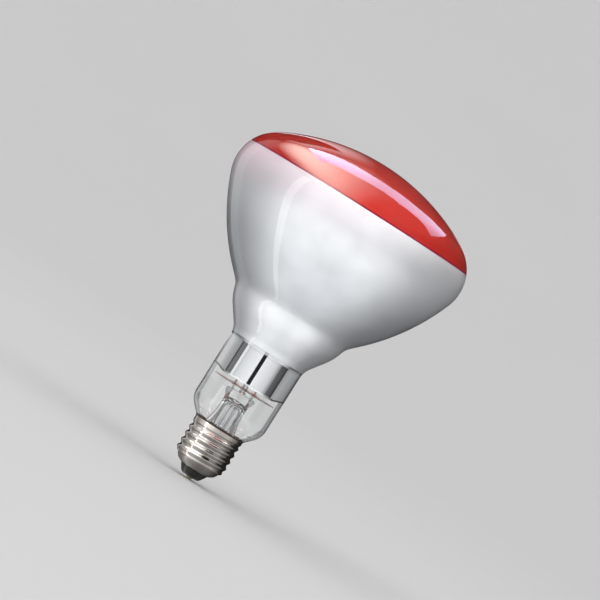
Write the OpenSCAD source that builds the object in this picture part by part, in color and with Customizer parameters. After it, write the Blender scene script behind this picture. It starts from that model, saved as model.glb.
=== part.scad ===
// Infrared reflector lamp: a blown glass bulb with a domed red face and a silvered bowl,
// a glass stem that carries the leads and the filament, and an E27 screw cap.
// The lamp stands on its centre contact at the origin, with +Z along its axis to the face.

/* [Bulb] */
// Largest diameter of the bulb
bulb_d = 125; // [122:0.5:128]
// Length from the centre contact to the middle of the face
lamp_len = 175.6; // [174.5:0.1:177]
// Height of the widest place
widest_z = 143; // [142:0.1:144]
// Radius of the domed face
dome_r = 105; // [100:1:112]
// Radius of the long curve of the bowl
bowl_r = 108; // [104:1:112]
// Outside diameter of the neck
neck_d = 39; // [38:0.1:40]
// Thickness of the glass
glass_t = 0.9; // [0.8:0.05:1.1]
// Height where the red face ends and the silvered bowl begins
face_edge_z = 151.5; // [149:0.1:154]
// Thickness of the coatings
film_t = 0.15; // [0.15:0.01:0.25]
// Height of the lower edge of the mirrored neck
mirror_edge_z = 52; // [51.5:0.5:58]

/* [Collar] */
// Radius of the hollow curve where the neck opens into the collar
neck_fillet_r = 10.3; // [9:0.1:12]
// Radius of the collar's bulge
collar_r = 26; // [23:0.5:29]
// Radius of the groove between the collar and the bowl
groove_r = 9.5; // [8:0.5:12]
// Length of the straight wall between the groove and the bowl
groove_wall = 4.5; // [3.5:0.1:5.5]

/* [Stem] */
// Half the distance between the wires in the press
wire_x = 5.1; // [5:0.05:5.3]
// Half the distance between the leads where they pass the disc
lead_x = 5.5; // [5.3:0.1:6]
// Diameter of the nickel leads
lead_d = 0.9; // [0.7:0.05:1]
// Height of the top of the glass press
press_top_z = 47.6; // [47.4:0.1:47.8]
// Diameter of the glass rod above the press
rod_d = 3.6; // [3:0.1:4]
// Height of the rod's top
rod_top_z = 97; // [93:0.5:100]

/* [Heat shield] */
// Diameter of the mica disc
disc_d = 32.6; // [31:0.1:34]
// Thickness of the mica disc
disc_t = 0.4; // [0.3:0.05:0.6]
// Height of the disc's middle
disc_z = 49.9; // [49.8:0.1:50.4]

/* [Filament] */
// Radius of the filament's ring
ring_r = 15; // [13:0.5:17]
// Height of the ring
ring_z = 107; // [104:0.5:111]
// Outside diameter of the filament's coil
coil_d = 1.6; // [1.2:0.1:1.8]
// Angle of the ring that the filament leaves open
ring_gap = 80; // [70:1:90]

/* [Cap] */
// Outside diameter over the thread's crests
thread_major_d = 26.2; // [26.05:0.05:26.45]
// Diameter over the thread's roots
thread_minor_d = 24.4; // [24.26:0.05:24.66]
// Height of the cap's rim
cap_rim_z = 27.8; // [27.6:0.05:27.9]
// Thickness of the shell's sheet metal
shell_t = 0.3; // [0.25:0.01:0.35]

/* [Hidden] */
$fn = 64;

// The bulb's outline is a chain of arcs and straight walls. A lean is the wall's angle from the
// axis: 0 on the neck, more where the wall opens upwards, less than 0 above the widest place.
shoulder_lean = 20.5;
bowl_lean = 45.5;
collar_lean = 16.5;
flank_lean = 35.5;
foot_lean = 45;

bulb_r = bulb_d / 2;
neck_r = neck_d / 2;
dome_z = lamp_len - dome_r;
shoulder_r = (dome_r * dome_r - bulb_r * bulb_r - (widest_z - dome_z) * (widest_z - dome_z))
    / (2 * (dome_r - bulb_r));
dome_lean = -atan2(widest_z - dome_z, bulb_r - shoulder_r);

// the wall's outward normal at a lean, and the way along the wall upwards
function normal(lean) = [cos(lean), -sin(lean)];
function along(lean) = [sin(lean), cos(lean)];

// Centres of the arcs, from the widest place downwards. A bulge has its centre inside the wall,
// and a hollow has it outside.
shoulder_c = [bulb_r - shoulder_r, widest_z];
bowl_c = shoulder_c - (bowl_r - shoulder_r) * normal(shoulder_lean);
bowl_foot = bowl_c + bowl_r * normal(bowl_lean);
groove_top = bowl_foot - groove_wall * along(bowl_lean);
groove_c = groove_top + groove_r * normal(bowl_lean);
collar_top = groove_c - groove_r * normal(collar_lean);
collar_c = collar_top - collar_r * normal(collar_lean);
collar_foot = collar_c + collar_r * normal(flank_lean);
flank_foot_r = neck_r + neck_fillet_r * (1 - cos(flank_lean));
flank_foot = collar_foot - (collar_foot[0] - flank_foot_r) / sin(flank_lean) * along(flank_lean);
neck_fillet_c = flank_foot + neck_fillet_r * normal(flank_lean);

// the neck's lower end: a rounded shoulder, a cone into the cap and the seal's short tube
foot_r = 10;
foot_c = [neck_r - foot_r, 38.6];
cone_top = foot_c + foot_r * normal(foot_lean);
seal_r = 10.6;
seal_z = 19.6;
cone_foot = cone_top - (cone_top[0] - seal_r) / sin(foot_lean) * along(foot_lean);

// points along an arc, set in by inset along the wall's normal
function arc(centre, radius, from, to, steps, inset) =
    [for (i = [0 : steps]) centre + (radius - inset) * normal(from + (to - from) * i / steps)];

// the bulb's outline from the seal to the middle of the face, set in by inset
function outline(inset) = concat(
    [[seal_r - inset, seal_z], [seal_r - inset, cone_foot[1] + inset * tan(foot_lean / 2)]],
    arc(foot_c, foot_r, foot_lean, 0, 8, inset),
    arc(neck_fillet_c, -neck_fillet_r, 0, flank_lean, 7, inset),
    arc(collar_c, collar_r, flank_lean, collar_lean, 6, inset),
    arc(groove_c, -groove_r, collar_lean, bowl_lean, 6, inset),
    arc(bowl_c, bowl_r, bowl_lean, shoulder_lean, 10, inset),
    arc(shoulder_c, shoulder_r, shoulder_lean, dome_lean, 20, inset),
    arc([0, dome_z], dome_r, dome_lean, -90, 12, inset)
);

function reversed(list) = [for (i = [len(list) - 1 : -1 : 0]) list[i]];

// a revolved layer of the bulb's wall, between two insets
module wall_layer(outer_inset, inner_inset) {
    polygon(concat(outline(outer_inset), reversed(outline(inner_inset))));
}

module height_band(low, high) {
    translate([0, low]) square([bulb_d, high - low]);
}

module envelope_glass() {
    color([0.92, 0.95, 0.95, 0.4])
        rotate_extrude($fn = 128) wall_layer(0, glass_t);
}

module red_face_coating() {
    color([0.85, 0.12, 0.06])
        rotate_extrude($fn = 128) intersection() {
            wall_layer(glass_t, glass_t + film_t);
            height_band(face_edge_z, lamp_len);
        }
}

module reflector_film() {
    color([0.86, 0.86, 0.87])
        rotate_extrude($fn = 128) intersection() {
            wall_layer(glass_t, glass_t + film_t);
            height_band(mirror_edge_z, face_edge_z);
        }
}

// Stem: the flare is fused inside the neck's seal, and its top is pinched to a flat press.
stem_wall = 0.9;
flare_top_r = 6.3;
flare_rim_r = seal_r - glass_t;
press_z = 40.6;
press_blend_z = 42.8;
press_w = 15.6;
press_t = 3.8;
press_corner_r = 1.1;
exhaust_r = 2.4;
exhaust_tip_z = 16.2;
exhaust_bore_r = 1.6;
lead_r = lead_d / 2;

module stem_flare() {
    side = [
        [flare_rim_r, seal_z], [9.1, 22], [8.4, 26], [7.8, 29.5], [7.1, 31.8],
        [6.6, 34.5], [flare_top_r, press_z]
    ];
    inner = [for (p = reversed(side)) [p[0] - stem_wall, p[1]]];
    color([0.85, 0.92, 0.9, 0.5])
        rotate_extrude() polygon(concat(side, inner));
}

// the press seen from the front: it widens upwards and has round top corners
module press_front() {
    corner_x = press_w / 2 - press_corner_r;
    corner_z = press_top_z - press_corner_r;
    polygon([
        [-flare_top_r, press_blend_z], [flare_top_r, press_blend_z],
        [press_w / 2, corner_z], [-press_w / 2, corner_z]
    ]);
    hull()
        for (side = [-1, 1])
            translate([side * corner_x, corner_z]) circle(press_corner_r, $fn = 32);
}

// the slot through which the exhaust tube opens to the bulb
module vent_slot() {
    vent_r = 0.6;
    vent_w = 3.3;
    hull()
        for (side = [-1, 1])
            translate([side * (vent_w / 2 - vent_r), 0]) circle(vent_r, $fn = 24);
}

module stem_press() {
    vent_z = 41.9;
    vent_bore_r = 0.7;
    color([0.85, 0.92, 0.9, 0.6])
        difference() {
            union() {
                hull() {
                    translate([0, 0, press_z]) cylinder(r = flare_top_r, h = 0.4, $fn = 48);
                    translate([-flare_top_r, -press_t / 2, press_blend_z])
                        cube([2 * flare_top_r, press_t, 0.2]);
                }
                translate([0, press_t / 2, 0])
                    rotate([90, 0, 0]) linear_extrude(press_t) press_front();
            }
            for (side = [-1, 1])
                translate([side * wire_x, 0, press_z - 1])
                    cylinder(r = lead_r, h = press_top_z - press_z + 2, $fn = 32);
            translate([0, 0, press_z - 1]) cylinder(r = vent_bore_r, h = vent_z - press_z + 1);
            translate([0, 0, vent_z])
                rotate([90, 0, 0]) linear_extrude(flare_top_r + 1) vent_slot();
        }
}

module exhaust_tube() {
    tip_r = 1.6;
    color([0.85, 0.92, 0.9, 0.5])
        rotate_extrude() polygon([
            [0, exhaust_tip_z], [tip_r, exhaust_tip_z + 0.8], [exhaust_r, exhaust_tip_z + 4],
            [exhaust_r, press_z], [exhaust_bore_r, press_z],
            [exhaust_bore_r, exhaust_tip_z + 4.4], [0, exhaust_tip_z + 2]
        ]);
}

button_h = 4;
button_r = 3;

module support_rod() {
    color([0.85, 0.92, 0.9, 0.6])
        rotate_extrude() polygon([
            [0, press_top_z], [rod_d / 2, press_top_z],
            [rod_d / 2, rod_top_z - button_h], [button_r, rod_top_z - button_h + 1],
            [button_r, rod_top_z - 1], [button_r - 1, rod_top_z], [0, rod_top_z]
        ]);
}

// A round wire swept along a path. Its rings are set on each point, square to the path there.
wire_sides = 10;

function unit(v) = v / norm(v);
function spline(a, b, c, d, t) =
    0.5 * (2 * b + (c - a) * t + (2 * a - 5 * b + 4 * c - d) * t * t
        + (3 * b - a - 3 * c + d) * t * t * t);
function smooth(p, steps) = concat([
    for (i = [0 : len(p) - 2])
        for (s = [0 : steps - 1])
            spline(p[max(i - 1, 0)], p[i], p[i + 1], p[min(i + 2, len(p) - 1)], s / steps)
], [p[len(p) - 1]]);
function heading(p, i) = unit(p[min(i + 1, len(p) - 1)] - p[max(i - 1, 0)]);
function ring(p, i, radius, across) =
    let (along = heading(p, i), u = unit(cross(across, along)), v = cross(along, u))
    [for (s = [0 : wire_sides - 1])
        p[i] + radius * (cos(360 * s / wire_sides) * u + sin(360 * s / wire_sides) * v)];

module wire(path, diameter, across) {
    n = wire_sides;
    last = len(path) - 1;
    polyhedron(
        points = [for (i = [0 : last]) for (q = ring(path, i, diameter / 2, across)) q],
        faces = concat(
            [[for (s = [n - 1 : -1 : 0]) s]],
            [for (i = [0 : last - 1]) for (s = [0 : n - 1])
                [i * n + s, i * n + (s + 1) % n, (i + 1) * n + (s + 1) % n, (i + 1) * n + s]],
            [[for (s = [0 : n - 1]) last * n + s]]
        )
    );
}

// Both wires change metal inside the press: nickel above, copper-clad in the glass, nickel below.
weld_high_z = press_top_z - 2.2;
weld_low_z = press_z + 0.4;

module seal_wire(side) {
    color([0.62, 0.25, 0.15])
        translate([side * wire_x, 0, weld_low_z])
            cylinder(r = lead_r, h = weld_high_z - weld_low_z, $fn = 32);
}
module seal_wire_left() { seal_wire(-1); }
module seal_wire_right() { seal_wire(1); }

// The leads end beside the filament's two ends, on the far side of the axis.
lead_end_angle = ring_gap / 2 - 2.5;
lead_end = [ring_r * sin(lead_end_angle), ring_r * cos(lead_end_angle)];

module inner_lead(side) {
    bend = smooth([
        [side * wire_x, 0, press_top_z - 0.2],
        [side * (wire_x + lead_x) / 2, 0, press_top_z + 0.6],
        [side * lead_x, 0, press_top_z + 1.2]
    ], 3);
    rise = smooth([
        [side * lead_x, 0, disc_z + 2],
        [side * (lead_x + 0.6), 1.5, 66],
        [side * (lead_end[0] - 0.4), lead_end[1] - 3, 93],
        [side * lead_end[0], lead_end[1], ring_z - 5],
        [side * lead_end[0], lead_end[1], ring_z + 1]
    ], 4);
    color([0.72, 0.70, 0.66])
        wire(concat([[side * wire_x, 0, weld_high_z]], bend, rise), lead_d, [0, 1, 0]);
}
module inner_lead_left() { inner_lead(-1); }
module inner_lead_right() { inner_lead(1); }

eyelet_bore_r = lead_r + 0.03;
eyelet_barrel_r = 0.95;
eyelet_flange_r = 1.7;
eyelet_flange_t = 0.35;

module heat_shield_disc() {
    color([0.66, 0.52, 0.47])
        translate([0, 0, disc_z - disc_t / 2])
            difference() {
                cylinder(d = disc_d, h = disc_t, $fn = 96);
                translate([0, 0, -1]) cylinder(d = rod_d + 0.4, h = disc_t + 2);
                for (side = [-1, 1])
                    translate([side * lead_x, 0, -1])
                        cylinder(r = eyelet_barrel_r, h = disc_t + 2, $fn = 32);
            }
}

module disc_eyelet(side) {
    low = disc_z - disc_t / 2;
    high = disc_z + disc_t / 2;
    barrel_low = low - 0.8;
    color([0.55, 0.53, 0.5])
        translate([side * lead_x, 0, 0])
            rotate_extrude($fn = 32) polygon([
                [eyelet_bore_r, barrel_low], [eyelet_barrel_r, barrel_low],
                [eyelet_barrel_r, low - eyelet_flange_t], [eyelet_flange_r, low - eyelet_flange_t],
                [eyelet_flange_r, low], [eyelet_barrel_r, low],
                [eyelet_barrel_r, high], [eyelet_flange_r, high],
                [eyelet_flange_r, high + eyelet_flange_t], [eyelet_bore_r, high + eyelet_flange_t]
            ]);
}
module disc_eyelet_left() { disc_eyelet(-1); }
module disc_eyelet_right() { disc_eyelet(1); }

// The filament's ring, open on the far side.
supports = 5;
ring_start = 90 + ring_gap / 2;
ring_span = 360 - ring_gap;

module filament() {
    color([0.35, 0.35, 0.37])
        translate([0, 0, ring_z]) rotate([0, 0, ring_start])
            rotate_extrude(angle = ring_span)
                translate([ring_r, 0]) circle(d = coil_d, $fn = 24);
}

// A hook from the rod's button, with a loop that goes round the filament.
support_d = 0.4;
loop_r = coil_d / 2 + support_d / 2 + 0.15;

module filament_support(number) {
    stalk = smooth([
        [button_r, 0, rod_top_z - 2],
        [button_r + 4, 0, rod_top_z - 0.5],
        [ring_r - 2.5, 0, ring_z - 3.5],
        [ring_r - 0.6, 0, ring_z - loop_r - 0.5]
    ], 4);
    loop = [for (a = [-90 : 24 : 198]) [ring_r + loop_r * cos(a), 0, ring_z + loop_r * sin(a)]];
    color([0.5, 0.5, 0.52])
        rotate([0, 0, ring_start + ring_span * number / (supports + 1)])
            wire(concat(stalk, loop), support_d, [0, 1, 0]);
}
module filament_support_1() { filament_support(1); }
module filament_support_2() { filament_support(2); }
module filament_support_3() { filament_support(3); }
module filament_support_4() { filament_support(4); }
module filament_support_5() { filament_support(5); }

// The outer leads. The centre one runs through the fuse to the contact, and the side one comes
// round the neck's seal on the far side and up to the cap's rim.
fuse_top = [4.3, 0, 33.5];
fuse_foot = [3.6, 0, 25];
fuse_d = 0.2;
tail_d = 0.5;
tail_bend_z = press_z - 1.1;
side_lead_r = (seal_r + thread_minor_d / 2 - shell_t) / 2;
solder_z = 0.9;

module centre_lead_upper() {
    path = smooth([[wire_x, 0, weld_low_z], [wire_x - 0.2, 0, tail_bend_z], [4.4, 0, 35], fuse_top], 4);
    color([0.72, 0.70, 0.66]) wire(path, tail_d, [0, 1, 0]);
}

module fuse_wire() {
    color([0.8, 0.78, 0.7]) wire([fuse_foot, fuse_top], fuse_d, [0, 1, 0]);
}

module centre_lead_lower() {
    path = smooth([
        fuse_foot, [3.6, 0, 20], [2.4, 0, 14.2], [0.4, 0, 11], [0, 0, 8.5], [0, 0, solder_z]
    ], 4);
    color([0.72, 0.70, 0.66]) wire(path, tail_d, [0, 1, 0]);
}

module side_lead() {
    path = smooth([
        [-wire_x, 0, weld_low_z], [0.2 - wire_x, 0, tail_bend_z], [-3.6, 0, 28], [-3.9, 0.8, 21.5],
        [-3.2, 5, 17.8], [-1, 9, 17.4], [0, side_lead_r, 19.8], [0, side_lead_r, 23.2],
        [0, side_lead_r, 25.2]
    ], 4);
    color([0.72, 0.70, 0.66]) wire(path, tail_d, [0.8, -0.6, 0]);
}

// The cap's shell is one sheet with the thread rolled in, so both of its faces are swept from
// the same rule: the sheet's outer radius at a height and an angle.
thread_pitch = 3.629;
crest_r = thread_major_d / 2;
root_r = thread_minor_d / 2;
thread_foot_z = 9.2;
thread_top_z = 26.2;
thread_fade = 1.4;
crest_phase_z = 1.98;
lip_points = [[7.6, 5.25], [8.75, 5.85], [9.7, 6.45], [10.4, 7.2], [10.9, 8.1], [11.3, 8.8]];
band_points = [[crest_r - 0.1, 26.9], [crest_r, cap_rim_z]];
shell_columns = 36;
shell_rows = 36;

function clamped(x) = max(0, min(1, x));
function thread_share(z) =
    clamped((z - thread_foot_z) / thread_fade) * clamped((thread_top_z - z) / thread_fade);
function base_r(z) =
    root_r + (crest_r - 0.1 - root_r) * clamped((z - thread_top_z + thread_fade) / thread_fade);
function thread_r(z, angle) =
    let (wave = (1 + cos(360 * (z - crest_phase_z) / thread_pitch - angle)) / 2)
    base_r(z) + (crest_r - root_r) * wave * thread_share(z);

// a row is [radius at every angle, height]
function shell_row(z, inset) =
    [for (c = [0 : shell_columns - 1])
        let (a = 360 * c / shell_columns, r = thread_r(z, a) - inset) [r * cos(a), r * sin(a), z]];
function plain_row(p, inset) =
    [for (c = [0 : shell_columns - 1])
        let (a = 360 * c / shell_columns) [(p[0] - inset) * cos(a), (p[0] - inset) * sin(a), p[1]]];
function shell_surface(inset, lift) = concat(
    [for (p = lip_points) plain_row([p[0], p[1] + lift], inset)],
    [for (i = [0 : shell_rows])
        shell_row(thread_foot_z + (thread_top_z - thread_foot_z) * i / shell_rows, inset)],
    [for (p = band_points) plain_row(p, inset)]
);

module cap_screw_shell() {
    outer = shell_surface(0, 0);
    inner = shell_surface(shell_t, shell_t);
    rows = concat(outer, reversed(inner));
    n = shell_columns;
    count = len(rows);
    color([0.78, 0.76, 0.72])
        polyhedron(
            points = [for (row = rows) for (p = row) p],
            faces = [for (i = [0 : count - 1]) for (c = [0 : n - 1])
                let (next = (i + 1) % count, d = (c + 1) % n)
                each [[i * n + c, next * n + c, next * n + d], [i * n + c, next * n + d, i * n + d]]]
        );
}

// The contact is a small eyelet in the insulator's tip. Solder fills it round the centre lead.
eyelet_hole_r = 0.65;
contact_r = 1.2;
contact_z = 0.25;
contact_top_z = 2.5;

module cap_insulator() {
    wire_hole_r = 0.9;
    tip_z = 0.85;
    color([0.04, 0.04, 0.045])
        rotate_extrude() polygon([
            [contact_r, tip_z], [4, 1.05], [4.9, 1.5], [6, 3.05], [7.15, 4.95], [7.15, 5.6],
            [8.3, 6.2], [9.3, 6.85], [9.95, 7.6], [10.45, 8.5], [10.6, 9.2], [9.6, 9.4], [3, 8],
            [wire_hole_r, 7], [wire_hole_r, contact_top_z], [contact_r, contact_top_z]
        ]);
}

module centre_contact() {
    color([0.72, 0.6, 0.36])
        rotate_extrude() polygon([
            [eyelet_hole_r, contact_z], [1.25, contact_z], [1.6, 0.5], [1.65, 0.85],
            [contact_r, 0.85], [contact_r, contact_top_z], [eyelet_hole_r, contact_top_z]
        ]);
}

module centre_solder() {
    color([0.7, 0.7, 0.7])
        rotate_extrude() polygon([
            [0, 0], [1.1, 0], [1.3, 0.1], [1.4, contact_z], [eyelet_hole_r, contact_z],
            [eyelet_hole_r, solder_z], [0, solder_z]
        ]);
}

// Cement fills the cap behind the thread and shows as a thin bead at the rim.
module cap_cement() {
    back_r = root_r - shell_t - 0.1;
    rim_r = crest_r - shell_t - 0.15;
    top_z = cap_rim_z + 0.8;
    cone_at_top = cone_foot + (top_z - cone_foot[1]) * [tan(foot_lean), 1];
    color([0.35, 0.25, 0.2])
        difference() {
            rotate_extrude() polygon([
                [seal_r, 20.6], [back_r, 20.6], [back_r, 25.2], [rim_r, 26.6], [rim_r, cap_rim_z],
                [crest_r, cap_rim_z], [crest_r + 0.25, cap_rim_z + 0.5], cone_at_top, cone_foot
            ]);
            translate([0, side_lead_r, 19]) cylinder(d = tail_d + 0.3, h = 12, $fn = 24);
        }
}

// A solder bead that wraps the rim on the far side.
module rim_solder() {
    bead_r = 1.3;
    color([0.7, 0.7, 0.7])
        difference() {
            translate([0, crest_r + 0.2, cap_rim_z - 0.6]) sphere(bead_r, $fn = 32);
            translate([0, 0, cap_rim_z - 4]) cylinder(r = crest_r + 0.02, h = 4.02, $fn = 96);
            translate([0, 0, cap_rim_z]) cylinder(r1 = crest_r + 0.25, r2 = crest_r + 1.3, h = 1, $fn = 96);
        }
}

envelope_glass();
red_face_coating();
reflector_film();
stem_flare();
stem_press();
exhaust_tube();
support_rod();
seal_wire_left();
seal_wire_right();
inner_lead_left();
inner_lead_right();
heat_shield_disc();
disc_eyelet_left();
disc_eyelet_right();
filament();
filament_support_1();
filament_support_2();
filament_support_3();
filament_support_4();
filament_support_5();
centre_lead_upper();
fuse_wire();
centre_lead_lower();
side_lead();
cap_screw_shell();
cap_insulator();
cap_cement();
centre_contact();
centre_solder();
rim_solder();
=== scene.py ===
import math

import bmesh
import bpy
from mathutils import Matrix, Vector, noise


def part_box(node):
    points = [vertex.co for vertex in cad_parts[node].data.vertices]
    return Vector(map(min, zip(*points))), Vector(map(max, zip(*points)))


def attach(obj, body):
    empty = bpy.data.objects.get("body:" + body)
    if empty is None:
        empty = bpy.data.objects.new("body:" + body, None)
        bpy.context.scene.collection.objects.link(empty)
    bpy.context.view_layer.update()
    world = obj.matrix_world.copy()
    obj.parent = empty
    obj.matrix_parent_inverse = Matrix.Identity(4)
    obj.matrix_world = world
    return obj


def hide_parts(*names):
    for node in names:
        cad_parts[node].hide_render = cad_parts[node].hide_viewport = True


# Infrared reflector lamp: a blown glass bulb over a glass stem, on a screw cap.
# Shapes are worked out in millimetres in the frame's axes, and every mesh is stored in metres.

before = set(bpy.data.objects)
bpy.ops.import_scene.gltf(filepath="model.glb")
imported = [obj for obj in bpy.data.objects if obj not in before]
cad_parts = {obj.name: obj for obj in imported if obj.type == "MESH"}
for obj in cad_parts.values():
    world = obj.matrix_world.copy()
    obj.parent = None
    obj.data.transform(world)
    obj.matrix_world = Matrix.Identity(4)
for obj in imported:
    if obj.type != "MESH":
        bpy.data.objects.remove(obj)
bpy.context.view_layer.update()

MM = 0.001
BODY = "root"


# ---------------------------------------------------------------- sizes taken from the frame

def box_mm(node):
    low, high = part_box(node)
    return low / MM, high / MM


def middle(node):
    low, high = box_mm(node)
    return (low + high) / 2


glass_low, glass_high = box_mm("envelope_glass")
BULB_R = glass_high.x
LAMP_LEN = glass_high.z
SEAL_Z = glass_low.z
FACE_EDGE_Z = box_mm("red_face_coating")[0].z
FILM_LOW_Z = box_mm("reflector_film")[0].z

press_low, press_high = box_mm("stem_press")
PRESS_Z = press_low.z
PRESS_TOP_Z = press_high.z
PRESS_HALF_W = press_high.x

exhaust_low, exhaust_high = box_mm("exhaust_tube")
EXHAUST_R = exhaust_high.x
EXHAUST_TIP_Z = exhaust_low.z

rod_high = box_mm("support_rod")[1]
BUTTON_R = rod_high.x
ROD_TOP_Z = rod_high.z

WIRE_X = middle("seal_wire_right").x
LEAD_R = (box_mm("seal_wire_right")[1].x - box_mm("seal_wire_right")[0].x) / 2
LEAD_X = middle("disc_eyelet_right").x
DISC_Z = middle("heat_shield_disc").z
DISC_R = box_mm("heat_shield_disc")[1].x

COIL_R = (box_mm("filament")[1].z - box_mm("filament")[0].z) / 2
RING_R = box_mm("filament")[1].x - COIL_R
RING_Z = middle("filament").z

shell_low, shell_high = box_mm("cap_screw_shell")
RIM_Z = shell_high.z
LIP_Z = shell_low.z

# ---------------------------------------------------------------- the bulb's outline

# A lean is the wall's angle from the axis: 0 on the neck, more where the wall opens upwards,
# less than 0 above the widest place. A bulge has its centre inside the wall, a hollow outside.
WIDEST_Z = 143.0
DOME_R = 105.0
BOWL_R = 108.0
COLLAR_R = 26.0
GROOVE_R = 9.5
GROOVE_WALL = 4.5
NECK_R = 19.5
NECK_FILLET_R = 10.3
FOOT_R = 10.0
FOOT_Z = 38.6
SEAL_R = 10.6
GLASS_T = 0.9
SHOULDER_LEAN = 20.5
BOWL_LEAN = 45.5
COLLAR_LEAN = 16.5
FLANK_LEAN = 35.5
FOOT_LEAN = 45.0
FROST_Z = 71.0      # the satin finish begins here, and the neck below it stays polished


def normal(lean):
    a = math.radians(lean)
    return Vector((math.cos(a), -math.sin(a)))


def along(lean):
    a = math.radians(lean)
    return Vector((math.sin(a), math.cos(a)))


dome_z = LAMP_LEN - DOME_R
rise = WIDEST_Z - dome_z
shoulder_r = (DOME_R ** 2 - BULB_R ** 2 - rise ** 2) / (2 * (DOME_R - BULB_R))
dome_lean = -math.degrees(math.atan2(rise, BULB_R - shoulder_r))
shoulder_c = Vector((BULB_R - shoulder_r, WIDEST_Z))
bowl_c = shoulder_c - (BOWL_R - shoulder_r) * normal(SHOULDER_LEAN)
groove_top = bowl_c + BOWL_R * normal(BOWL_LEAN) - GROOVE_WALL * along(BOWL_LEAN)
groove_c = groove_top + GROOVE_R * normal(BOWL_LEAN)
collar_c = groove_c - (GROOVE_R + COLLAR_R) * normal(COLLAR_LEAN)
collar_foot = collar_c + COLLAR_R * normal(FLANK_LEAN)
flank_foot_r = NECK_R + NECK_FILLET_R * (1 - math.cos(math.radians(FLANK_LEAN)))
flank_len = (collar_foot.x - flank_foot_r) / math.sin(math.radians(FLANK_LEAN))
neck_fillet_c = collar_foot - flank_len * along(FLANK_LEAN) + NECK_FILLET_R * normal(FLANK_LEAN)
foot_c = Vector((NECK_R - FOOT_R, FOOT_Z))
cone_top = foot_c + FOOT_R * normal(FOOT_LEAN)
cone_foot = cone_top - (cone_top.x - SEAL_R) / math.sin(math.radians(FOOT_LEAN)) * along(FOOT_LEAN)

ARC_STEP = 1.6      # degrees between the points of a fine arc


def arc(centre, radius, start, end, inset):
    steps = max(3, math.ceil(abs(end - start) / ARC_STEP))
    leans = [start + (end - start) * i / steps for i in range(steps + 1)]
    return [centre + (radius - inset) * normal(lean) for lean in leans]


def outline(inset):
    """The bulb's outline from the seal to the middle of the face, set in by inset."""
    corner_z = cone_foot.y + inset * math.tan(math.radians(FOOT_LEAN / 2))
    points = [Vector((SEAL_R - inset, SEAL_Z)), Vector((SEAL_R - inset, corner_z))]
    points += arc(foot_c, FOOT_R, FOOT_LEAN, 0, inset)
    points += arc(neck_fillet_c, -NECK_FILLET_R, 0, FLANK_LEAN, inset)
    points += arc(collar_c, COLLAR_R, FLANK_LEAN, COLLAR_LEAN, inset)
    points += arc(groove_c, -GROOVE_R, COLLAR_LEAN, BOWL_LEAN, inset)
    points += arc(bowl_c, BOWL_R, BOWL_LEAN, SHOULDER_LEAN, inset)
    points += arc(shoulder_c, shoulder_r, SHOULDER_LEAN, dome_lean, inset)
    points += arc(Vector((0, dome_z)), DOME_R, dome_lean, -90, inset)
    points[-1].x = 0
    return [p for i, p in enumerate(points) if i == 0 or (p - points[i - 1]).length > 1e-3]


def wall(inset, low, high):
    """The part of an outline between two heights, with a point exactly on each."""
    points = outline(inset)
    found = []
    for a, b in zip(points, points[1:]):
        for z in (low, high):
            if a.y < z < b.y:
                found.append(a.lerp(b, (z - a.y) / (b.y - a.y)))
        if low < b.y < high or (b is points[-1] and high >= b.y):
            found.append(b)
    if low <= points[0].y:
        found.insert(0, points[0])
    return found


# ---------------------------------------------------------------- mesh helpers

SHARP_ANGLE = math.radians(60)
ON_AXIS = 1e-6      # a radius under this counts as none


def make_piece(name, shape, materials, *nodes, zones=None):
    """One closed piece of the lamp, from (points in millimetres, faces, rows), in the place of
    some nodes. zones gives each face's place in materials."""
    points, faces = shape[:2]
    mesh = bpy.data.meshes.new(name)
    mesh.from_pydata([Vector(p) * MM for p in points], [], faces)
    for material in materials:
        mesh.materials.append(material)
    if zones:
        mesh.polygons.foreach_set("material_index", zones)
    work = bmesh.new()
    work.from_mesh(mesh)
    bmesh.ops.recalc_face_normals(work, faces=work.faces)
    work.to_mesh(mesh)
    work.free()
    mesh.polygons.foreach_set("use_smooth", [True] * len(mesh.polygons))
    mesh.set_sharp_from_angle(angle=SHARP_ANGLE)
    piece = bpy.data.objects.new(name, mesh)
    bpy.context.scene.collection.objects.link(piece)
    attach(piece, BODY)
    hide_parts(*nodes)


def swept_rings(rings):
    """Points and faces that join rings of equal length, with each face's row. A ring of one
    point closes an end, and two of them in a row part one wall from the next."""
    points, starts = [], []
    for ring in rings:
        starts.append(len(points))
        points += ring
    faces, rows = [], []
    for row, (a, b) in enumerate(zip(rings, rings[1:])):
        n = max(len(a), len(b))
        if n == 1:
            continue
        i, j = starts[row], starts[row + 1]
        for c in range(n):
            d = (c + 1) % n
            if len(a) == 1:
                faces.append((i, j + d, j + c))
            elif len(b) == 1:
                faces.append((i + c, i + d, j))
            else:
                faces.append((i + c, i + d, j + d, j + c))
            rows.append(row)
    return points, faces, rows


def swept_loop(rings):
    """The same, with the last ring joined to the first."""
    points, faces, rows = swept_rings(rings)
    n = len(rings[0])
    last = len(points) - n
    faces += [(last + c, last + (c + 1) % n, (c + 1) % n, c) for c in range(n)]
    rows += [len(rings) - 1] * n
    return points, faces, rows


def turned(count):
    """Angles that share out one turn."""
    return [2 * math.pi * c / count for c in range(count)]


def circle_ring(radius, z, columns, centre=(0, 0)):
    if radius < ON_AXIS:
        return [(*centre, z)]
    return [(centre[0] + radius * math.cos(a), centre[1] + radius * math.sin(a), z)
            for a in turned(columns)]


def revolved(profile, columns, centre=(0, 0)):
    """A profile of (radius, height) turned round an upright axis. One with an end off the axis
    is a loop."""
    rings = [circle_ring(r, z, columns, centre) for r, z in profile]
    return swept_rings(rings) if len(rings[0]) == len(rings[-1]) == 1 else swept_loop(rings)


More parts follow.
